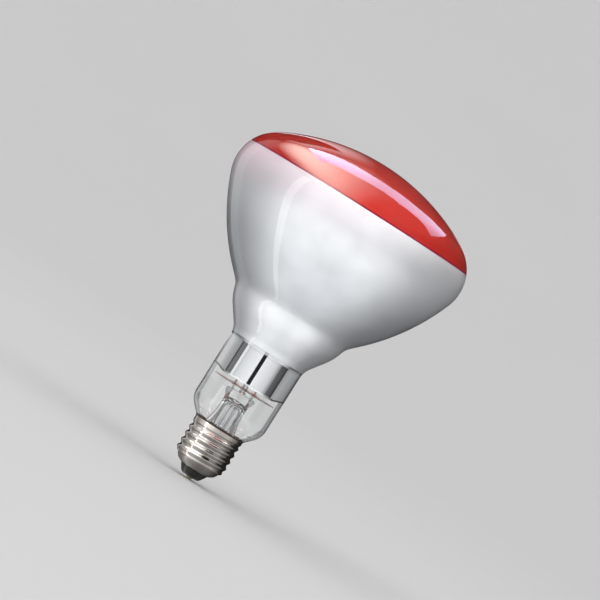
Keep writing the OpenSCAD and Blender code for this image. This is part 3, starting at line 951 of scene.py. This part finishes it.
def cement():
    """Cement behind the shell, with an uneven bead that shows between rim and glass."""
    columns = 180
    back_r = THREAD_MINOR_R - SHELL_T - 0.1
    rim_r = THREAD_MAJOR_R - SHELL_T - 0.15

    def cone_r(z):
        return cone_foot.x + (z - cone_foot.y) * math.tan(math.radians(FOOT_LEAN))

    profile = [(SEAL_R - 0.05, 20.6), (back_r, 20.6), (back_r, 25.2), (rim_r, 26.6),
               (rim_r, RIM_Z - 0.1)]
    bead = [(RIM_FOOT_R, RIM_Z + 0.02, 0.15), (THREAD_MAJOR_R + 0.14, RIM_Z + 0.3, 0.8),
            (THREAD_MAJOR_R + 0.16, RIM_Z + 0.55, 1.0),
            (cone_r(RIM_Z + 0.8) - 0.02, RIM_Z + 0.8, 1.2)]
    rings = [circle_ring(r, z, columns) for r, z in profile]
    for r, z, rough in bead:
        ring = []
        for a in turned(columns):
            x, y = math.cos(a), math.sin(a)
            far = r + rough * 0.16 * wobble(x * 5, y * 5, z, 9)
            ring.append((far * x, far * y, z + rough * 0.22 * wobble(x * 2.2, y * 2.2, 0, 4)))
        rings.append(ring)
    rings.append(circle_ring(cone_r(RIM_Z + 0.3) - 0.15, RIM_Z + 0.3, columns))
    rings.append(circle_ring(cone_foot.x - 0.05, cone_foot.y, columns))
    make_piece("cement_bead", swept_loop(rings), [cap_cement()], "cap_cement")


def side_solder():
    """A bead of solder over the rim, with a lumpy outline."""
    centre = Vector((0, THREAD_MAJOR_R + 0.05, RIM_Z - 0.55))
    half_w, half_t, half_h = 1.25, 0.75, 1.2
    columns, stacks = 40, 24
    rings = [[centre - Vector((0, 0, half_h))]]
    for s in range(1, stacks):
        v = math.pi * s / stacks
        ring = []
        for u in turned(columns):
            d = Vector((math.sin(v) * math.cos(u) * half_w, math.sin(v) * math.sin(u) * half_t,
                        -math.cos(v) * half_h))
            ring.append(centre + d * (1 + 0.12 * wobble(*(d * 1.3), 7)))
        rings.append(ring)
    rings.append([centre + Vector((0, 0, half_h))])
    make_piece("rim_solder_bead", swept_rings(rings), [SOLDER], "rim_solder")


screw_shell()
insulator()
contact()
cement()
side_solder()


# ---------------------------------------------------------------- camera

CAMERA_DISTANCE = 2.0
CAMERA_HEIGHT = 0.100
CAMERA_SHIFT = -0.0002
CAMERA_ROLL = math.radians(32.2)      # the lamp's axis leans this far to the right in the view
CAMERA_LENS = 252.4


def add_camera():
    data = bpy.data.cameras.new("camera")
    data.lens = CAMERA_LENS
    data.sensor_width = 36
    data.clip_end = 50
    camera = bpy.data.objects.new("camera", data)
    bpy.context.scene.collection.objects.link(camera)
    right = Vector((math.cos(CAMERA_ROLL), 0, math.sin(CAMERA_ROLL)))
    up = Vector((-math.sin(CAMERA_ROLL), 0, math.cos(CAMERA_ROLL)))
    back = Vector((0, -1, 0))
    turn = Matrix((right, up, back)).transposed().to_4x4()
    camera.matrix_world = Matrix.Translation((CAMERA_SHIFT, -CAMERA_DISTANCE, CAMERA_HEIGHT)) @ turn
    bpy.context.scene.camera = camera


add_camera()


# ---------------------------------------------------------------- studio

WHITE = (1.0, 1.0, 1.0)
FLOOR_R = 2.4
COVE_R = 3.0
WALL_TOP = 3.4
FLOOR_Z = -0.0003     # just under the lamp's contact
PANEL_Z = 0.0002      # the lowest height of a light panel, just over the floor
REACH = 2.3           # from the lamp's axis to an upright light panel
LAMP_MIDDLE = (0, 0, 0.09)
GLOSS = ("glossy",)
THROUGH_GLASS = ("transmission",)


def add_stage_mesh(name, points, faces, material):
    mesh = bpy.data.meshes.new(name)
    mesh.from_pydata(points, [], faces)
    mesh.materials.append(material)
    mesh.polygons.foreach_set("use_smooth", [True] * len(mesh.polygons))
    made = bpy.data.objects.new(name, mesh)
    bpy.context.scene.collection.objects.link(made)
    return made


def pale_paint():
    s = Surface("pale_paint", Specular_IOR_Level=0.0)
    s.colour(s.blend(s.noise(400, detail=2), (0.735, 0.73, 0.725), (0.765, 0.76, 0.755)))
    s.roughness(s.between(s.noise(120, detail=3), 0.3, 0.7, 0.75, 0.9))
    return s.material


def cyclorama():
    """A round pale floor that curves up into a low wall."""
    columns = 96
    profile = [(0.4 * i, 0.0) for i in range(6)]
    profile += [(FLOOR_R + COVE_R * math.sin(a), COVE_R * (1 - math.cos(a)))
                for a in [math.pi / 2 * i / 12 for i in range(13)]]
    profile.append((FLOOR_R + COVE_R, WALL_TOP))
    rings = [circle_ring(r, z + FLOOR_Z, columns) for r, z in profile]
    add_stage_mesh("studio_floor", *swept_rings(rings)[:2], pale_paint())


def around(azimuth, distance, height):
    """A point round the lamp. Azimuth 0 is towards the camera and 90 is to the right."""
    a = math.radians(azimuth)
    return Vector((math.sin(a) * distance, -math.cos(a) * distance, height))


def reflected(name, points, faces, material, rays):
    """A panel that the camera doesn't see: it shows only in gloss, or only through the glass."""
    made = add_stage_mesh(name, points, faces, material)
    made.visible_camera = False
    made.visible_diffuse = False
    made.visible_shadow = False
    made.visible_glossy = "glossy" in rays
    made.visible_transmission = "transmission" in rays
    return made


def graded_glow(name, colour):
    """Light whose level is stored at each corner of the panel."""
    material = bpy.data.materials.new(name)
    material.use_nodes = True
    tree = material.node_tree
    tree.nodes.clear()
    level = tree.nodes.new("ShaderNodeAttribute")
    level.attribute_name = "level"
    emission = tree.nodes.new("ShaderNodeEmission")
    emission.inputs["Color"].default_value = (*colour, 1)
    out = tree.nodes.new("ShaderNodeOutputMaterial")
    tree.links.new(level.outputs["Fac"], emission.inputs["Strength"])
    tree.links.new(emission.outputs[0], out.inputs["Surface"])
    return material


def graded(name, grid, levels, colour, rays):
    """A panel from rows of points, with a light level for each point."""
    width = len(grid[0])
    points = [p for row in grid for p in row]
    faces = [(i * width + j, i * width + j + 1, (i + 1) * width + j + 1, (i + 1) * width + j)
             for i in range(len(grid) - 1) for j in range(width - 1)]
    made = reflected(name, points, faces, graded_glow(name, colour), rays)
    stored = made.data.attributes.new("level", "FLOAT", "POINT")
    stored.data.foreach_set("value", [v for row in levels for v in row])


def stepped(stops, x):
    """The level at x, straight between stops of (place, level)."""
    for (a, low), (b, high) in zip(stops, stops[1:]):
        if a <= x <= b:
            return low + (high - low) * (x - a) / (b - a) if b > a else high
    return stops[0][1] if x < stops[0][0] else stops[-1][1]


def surround(name, stops, near, top, colour, rays):
    """Light from the floor at the lamp's foot out to an upright wall. Each stop has an azimuth,
    and the levels there of the floor near the lamp, of the wall's foot and of the wall above.
    near scales them by the distance from the lamp's axis."""
    rise = [(r, PANEL_Z, 0) for r in (0.0, 0.02, 0.04, 0.07, 0.11, 0.16, 0.22)]
    rise += [(0.5, PANEL_Z, 1), (REACH, PANEL_Z, 1), (REACH, 0.12, 1)]
    rise += [(REACH, 0.4, 2), (REACH, top, 2)]
    azimuths = []
    for (a, *_), (b, *_) in zip(stops, stops[1:]):
        steps = max(1, math.ceil((b - a) / 4))
        azimuths += [a + (b - a) * i / steps for i in range(steps)]
    azimuths.append(stops[-1][0])
    bands = [[(stop[0], stop[1 + band]) for stop in stops] for band in range(3)]
    grid = [[around(a, r, z) for r, z, _ in rise] for a in azimuths]
    levels = [[stepped(bands[band], a) * stepped(near, r) for r, z, band in rise] for a in azimuths]
    graded(name, grid, levels, colour, rays)


def swell(share, count):
    """0 at both ends of a row and 1 in its middle."""
    return math.sin(math.pi * share / count)


def spread(ends, count):
    """Evenly spaced numbers from one end to the other."""
    low, high = ends
    return [low + (high - low) * i / count for i in range(count + 1)]


def soft_sheet(name, across, along_y, height, level, colour, rays):
    """A level sheet of light overhead that fades out towards its edges."""
    count = 16
    grid = [[(x, y, height) for y in spread(along_y, count)] for x in spread(across, count)]
    levels = [[level * swell(i, count) ** 2 * swell(j, count) for j in range(count + 1)]
              for i in range(count + 1)]
    graded(name, grid, levels, colour, rays)


def sky_patch(name, azimuths, elevations, distance, level, rays, soft=False):
    """A part of a sphere round the lamp's face. A soft one fades out towards its edges."""
    columns, rows = 24, 12
    angles = [math.radians(e) for e in spread(elevations, rows)]
    grid = [[around(azimuth, distance * math.cos(e), FACE_EDGE_Z * MM + distance * math.sin(e))
             for e in angles] for azimuth in spread(azimuths, columns)]
    levels = [[level * (swell(i, columns) * swell(j, rows) if soft else 1) for j in range(rows + 1)]
              for i in range(columns + 1)]
    graded(name, grid, levels, WHITE, rays)


def cuff(name, stops, edges, rays):
    """Light on a collar round the cap, with (radius, height) edges."""
    azimuths = sorted(set(range(-180, 181, 2)) | {a for a, _ in stops})
    grid = [[around(a, *edge) for edge in edges] for a in azimuths]
    graded(name, grid, [[stepped(stops, a)] * len(edges) for a in azimuths], WHITE, rays)


def facing(direction, distance, across, up):
    """A point of a plane that faces the lamp's face from a direction (azimuth, elevation)."""
    azimuth, elevation = direction
    e = math.radians(elevation)
    ahead = around(azimuth, math.cos(e), math.sin(e))
    right = around(azimuth - 90, 1, 0)
    place = ahead + across * right + up * right.cross(ahead)
    return Vector((0, 0, FACE_EDGE_Z * MM)) + distance * place


def banner(name, direction, distance, low_edge, high_edge, levels, colour, rays):
    """A light between two curves of (across, up) points, as seen from the lamp's face. levels
    pairs a share of the way from its left end to its right end with a brightness."""
    edges = [smooth_path([(*p, 0) for p in edge], 6) for edge in (low_edge, high_edge)]
    grid = [[facing(direction, distance, p.x, p.y) for p in edge] for edge in edges]
    glows = [[stepped(levels, j / (len(row) - 1)) for j in range(len(row))] for row in grid]
    graded(name, grid, glows, colour, rays)


def softbox(name, place, target, size, colour, power):
    data = bpy.data.lights.new(name, "AREA")
    data.shape = "RECTANGLE"
    data.size, data.size_y = size
    data.color = colour
    data.energy = power
    light = bpy.data.objects.new(name, data)
    bpy.context.scene.collection.objects.link(light)
    light.location = place
    light.rotation_mode = "QUATERNION"
    light.rotation_quaternion = (Vector(target) - Vector(place)).to_track_quat("-Z", "Y")
    light.visible_camera = False
    light.visible_glossy = False
    light.visible_transmission = False


def set_world(colour, strength):
    world = bpy.data.worlds.new("studio_air")
    world.use_nodes = True
    background = world.node_tree.nodes["Background"]
    background.inputs["Color"].default_value = (*colour, 1)
    background.inputs["Strength"].default_value = strength
    bpy.context.scene.world = world


cyclorama()
set_world((0.985, 0.985, 1.0), 0.90)
softbox("key_light", around(-35, 2.4, 1.6), LAMP_MIDDLE, (1.4, 1.4), WHITE, 9)
softbox("fill_light", around(50, 2.6, 1.2), LAMP_MIDDLE, (1.6, 1.6), WHITE, 5)

# what the films see through the glass: a bright front with a gap behind the camera, and at each
# side a dark gap and a grey pane
surround("film_surround", [
    (-172, 0.37, 0.21, 0.34), (-146.1, 0.37, 0.21, 0.34), (-146, 0.37, 0.86, 1.01),
    (-120, 0.17, 0.81, 1.01), (-100, 0.28, 0.52, 0.9), (-83.1, 0.49, 0.44, 0.84),
    (-83, 0.75, 0.05, 0.67), (-77, 0.85, 0.05, 0.67), (-76.9, 0.95, 0.22, 0.84),
    (-61.6, 1.35, 0.2, 1.01), (-61.5, 1.5, 1.3, 1.23), (-53, 1.5, 1.3, 1.35),
    (-52.9, 1.5, 0.78, 1.35), (-46, 1.47, 1.1, 1.46), (-25, 1.64, 1.3, 1.58),
    (-5.1, 1.64, 1.43, 1.58), (-5, 1.02, 0.03, 1.46), (6.5, 1.02, 0.03, 1.46),
    (6.6, 1.64, 1.43, 1.58), (25, 1.55, 1.27, 1.46), (45, 1.5, 1.04, 1.29), (56, 1.45, 0.52, 1.07),
    (61, 1.25, 0.17, 0.9), (76.9, 0.75, 0.1, 0.56), (77, 0.65, 0.04, 0.51), (83, 0.5, 0.04, 0.45),
    (83.1, 0.31, 0.49, 0.39), (100, 0.17, 0.6, 0.34), (120, 0.13, 0.49, 0.28),
    (146, 0.2, 0.43, 0.28), (146.1, 0.33, 0.21, 0.28), (172, 0.33, 0.21, 0.28)
], [(0, 0.7), (0.05, 0.8), (0.12, 1.0)], 1.6, (0.97, 0.985, 1.0), THROUGH_GLASS)
sky_patch("overhead", (0, 360), (50, 90), 1.5, 3.4, THROUGH_GLASS)
sky_patch("back_glow", (140, 220), (1, 35), 2.4, 1.7, THROUGH_GLASS)

# what gloss sees: a tall strip light and a bright half to the left, a dimmer right half, a dark
# sky with one softbox behind the lamp, and a soft warm light above on the left
surround("gloss_surround", [(azimuth, 0.55 * level, level, level) for azimuth, level in (
    (-172, 0.02), (-146.1, 0.02), (-146, 0.5), (-124.1, 0.6), (-124, 0.25), (-100, 0.5), (-70, 1.1),
    (-61.6, 1.3), (-61.5, 3.6), (-53, 3.6), (-52.9, 1.5), (-20, 1.0), (-5, 0.75), (10, 0.60),
    (60, 0.65), (80, 0.35), (100, 0.20), (115, 0.03), (172, 0.02)
)], [(0, 0.75), (0.035, 0.85), (0.06, 1.82), (0.3, 1.82), (0.5, 1.0)], 1.6, WHITE, GLOSS)
cuff("cap_cuff", [
    (-180, 0.02), (-122, 0.02), (-116, 0.5), (-95, 1.2), (-70, 1.3), (-38, 1.0), (-20, 0.75),
    (-5.1, 0.6), (-5, 0.03), (38, 0.03), (38.1, 0.36), (60, 0.40), (85, 0.20), (96, 0.03),
    (180, 0.02)
], ((0.036, 0.046), (0.024, 0.066), (0.0205, 0.0695)), GLOSS)
for name, azimuths, elevations, distance, level in (
    ("dark_back", (80, 260), (-1, 90), 4.2, 0.03), ("dark_front", (-5, 38), (28, 90), 4.2, 0.02),
    ("dim_right", (38, 80), (28, 90), 4.2, 0.16), ("dim_left", (260, 355), (28, 90), 4.2, 0.7),
    ("left_rim", (187, 193), (1, 20), 2.5, 1.6), ("right_rim", (168, 174), (0, 10), 2.5, 1.4),
):
    sky_patch(name, azimuths, elevations, distance, level, GLOSS)
soft_sheet("warm_light", (-2.3, 0.3), (-2.3, 2.0), 1.75, 11.0, (0.93, 0.90, 0.80), GLOSS)
sky_patch("warm_back", (181, 212), (10, 40), 4.0, 1.9, GLOSS, soft=True)
banner("top_softbox", (180, 45), 1.4,
       [(-0.27, -0.10), (-0.08, 0.01), (0.01, 0.03), (0.11, -0.01), (0.2, -0.10), (0.27, -0.27)],
       [(-0.50, 0.52), (-0.20, 0.26), (0.01, 0.21), (0.14, 0.18), (0.29, 0.21), (0.74, 0.44)],
       [(0, 8.0), (0.25, 6.3), (0.45, 3.8), (1, 3.4)], (0.62, 0.71, 1.0), GLOSS)

scene = bpy.context.scene
scene.view_settings.view_transform = "Standard"
scene.view_settings.look = "None"
scene.cycles.use_denoising = True
scene.cycles.max_bounces = 20
scene.cycles.transmission_bounces = 20
scene.cycles.glossy_bounces = 10
scene.cycles.diffuse_bounces = 4
scene.cycles.sample_clamp_indirect = 6.0
